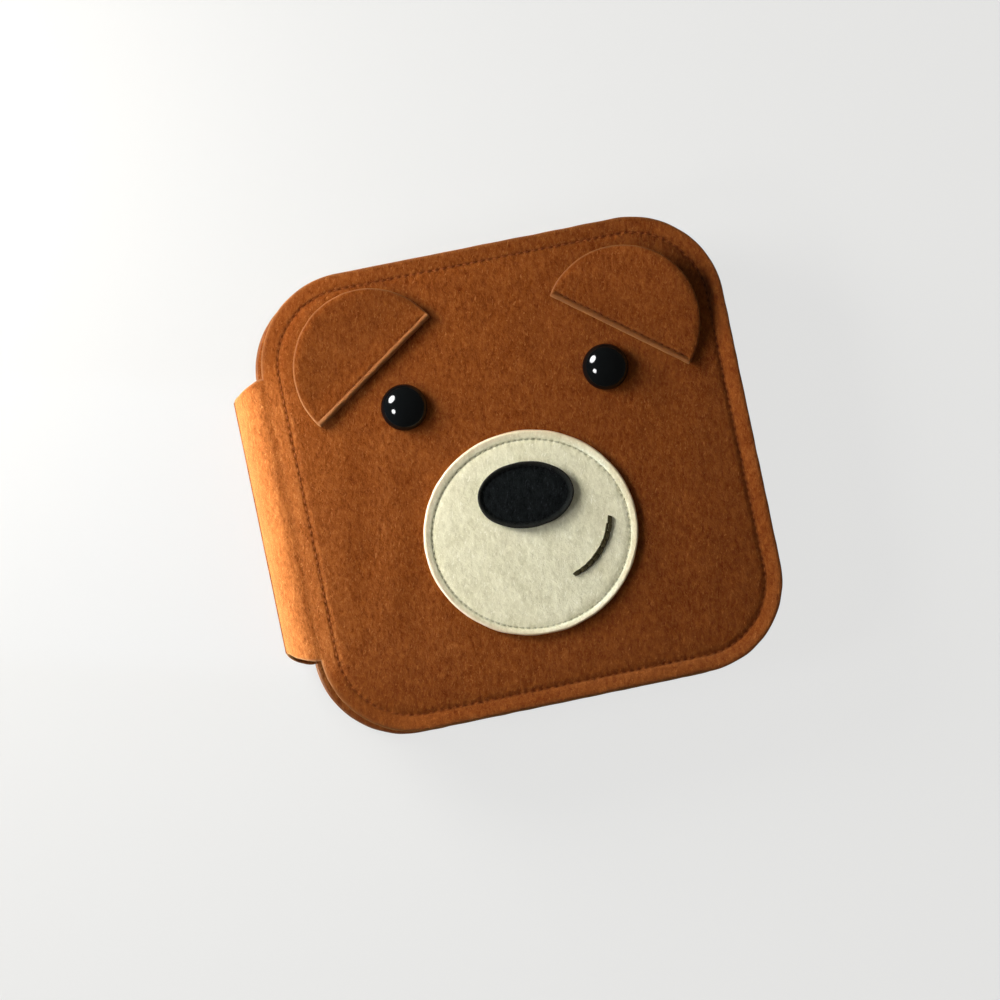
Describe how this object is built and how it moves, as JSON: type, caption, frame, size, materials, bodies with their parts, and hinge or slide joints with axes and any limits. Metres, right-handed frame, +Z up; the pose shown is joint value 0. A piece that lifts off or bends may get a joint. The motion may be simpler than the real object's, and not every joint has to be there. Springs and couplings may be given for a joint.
{
  "type": "cloth book",
  "caption": "Square felt cloth book with an animal's face on its cover, lifting ears, a rounded spine and turning leaves.",
  "frame": {"origin": "middle of the back cover's outer face, on the surface that the closed book lies on", "axes": "+Z up, out of the front cover; +X from the spine to the opening edge; +Y up the face"},
  "size_m": [0.1609, 0.1486, 0.034],
  "materials": {
    "cover_felt": "thick brown wool felt, matt, short fibres",
    "lining_felt": "thin brown felt, matt",
    "wadding": "soft white polyester wadding",
    "page_felt": "thin natural felt, matt",
    "muzzle_felt": "thin off-white felt, matt",
    "nose_felt": "thin black felt, matt",
    "smile_thread": "dark embroidery thread",
    "eye_plastic": "polished black plastic",
    "washer_plastic": "white moulded plastic",
    "red_felt": "thin felt",
    "yellow_felt": "thin felt",
    "blue_felt": "thin felt",
    "green_felt": "thin felt",
    "orange_felt": "thin felt",
    "purple_felt": "thin felt"
  },
  "bodies": {
    "back_cover": {"back_cover_felt": "cover_felt", "back_cover_wadding": "wadding", "back_cover_lining": "lining_felt"},
    "spine": {"spine_band": "cover_felt", "leaf_1_tab": "page_felt", "leaf_2_tab": "page_felt", "leaf_3_tab": "page_felt"},
    "front_cover": {"front_cover_felt": "cover_felt", "front_cover_wadding": "wadding", "front_cover_lining": "lining_felt", "muzzle": "muzzle_felt", "nose": "nose_felt", "smile_thread": "smile_thread", "eye_left": "eye_plastic", "eye_left_washer": "washer_plastic", "eye_right": "eye_plastic", "eye_right_washer": "washer_plastic", "ear_left_sewn_edge": "cover_felt", "ear_right_sewn_edge": "cover_felt"},
    "leaf_1": {"leaf_1_back_sheet": "page_felt", "leaf_1_front_sheet": "page_felt", "leaf_1_front_shape": "red_felt", "leaf_1_back_shape": "yellow_felt"},
    "leaf_2": {"leaf_2_back_sheet": "page_felt", "leaf_2_front_sheet": "page_felt", "leaf_2_front_shape": "blue_felt", "leaf_2_back_shape": "green_felt"},
    "leaf_3": {"leaf_3_back_sheet": "page_felt", "leaf_3_front_sheet": "page_felt", "leaf_3_front_shape": "orange_felt", "leaf_3_back_shape": "purple_felt"},
    "ear_left": {"ear_left_flap": "cover_felt"},
    "ear_right": {"ear_right_flap": "cover_felt"}
  },
  "joints": [
    {"name": "spine_tilt", "type": "hinge", "parent": "back_cover", "child": "spine", "pos_m": [-0.0755, 0, 0], "axis": [0, -1, 0], "range_deg": [0, 35]},
    {"name": "cover_opens", "type": "hinge", "parent": "spine", "child": "front_cover", "pos_m": [-0.0755, 0, 0.0277], "axis": [0, -1, 0], "range_deg": [0, 152]},
    {"name": "leaf_1_turns", "type": "hinge", "parent": "spine", "child": "leaf_1", "pos_m": [-0.0715, 0, 0.0193], "axis": [0, -1, 0], "range_deg": [0, 88]},
    {"name": "leaf_2_turns", "type": "hinge", "parent": "spine", "child": "leaf_2", "pos_m": [-0.0715, 0, 0.0137], "axis": [0, -1, 0], "range_deg": [0, 52]},
    {"name": "leaf_3_turns", "type": "hinge", "parent": "spine", "child": "leaf_3", "pos_m": [-0.0715, 0, 0.0081], "axis": [0, -1, 0], "range_deg": [0, 16]},
    {"name": "ear_left_lifts", "type": "hinge", "parent": "front_cover", "child": "ear_left", "pos_m": [-0.0411, 0.0426, 0.03], "axis": [0.829, 0.5592, 0], "range_deg": [0, 120]},
    {"name": "ear_right_lifts", "type": "hinge", "parent": "front_cover", "child": "ear_right", "pos_m": [0.0413, 0.0404, 0.03], "axis": [0.7934, -0.6088, 0], "range_deg": [0, 120]}
  ],
  "couplings": [
    {"joint": "spine_tilt", "follows": "cover_opens", "ratio": 0.23},
    {"joint": "leaf_1_turns", "follows": "cover_opens", "ratio": 0.575},
    {"joint": "leaf_2_turns", "follows": "cover_opens", "ratio": 0.34},
    {"joint": "leaf_3_turns", "follows": "cover_opens", "ratio": 0.105}
  ]
}
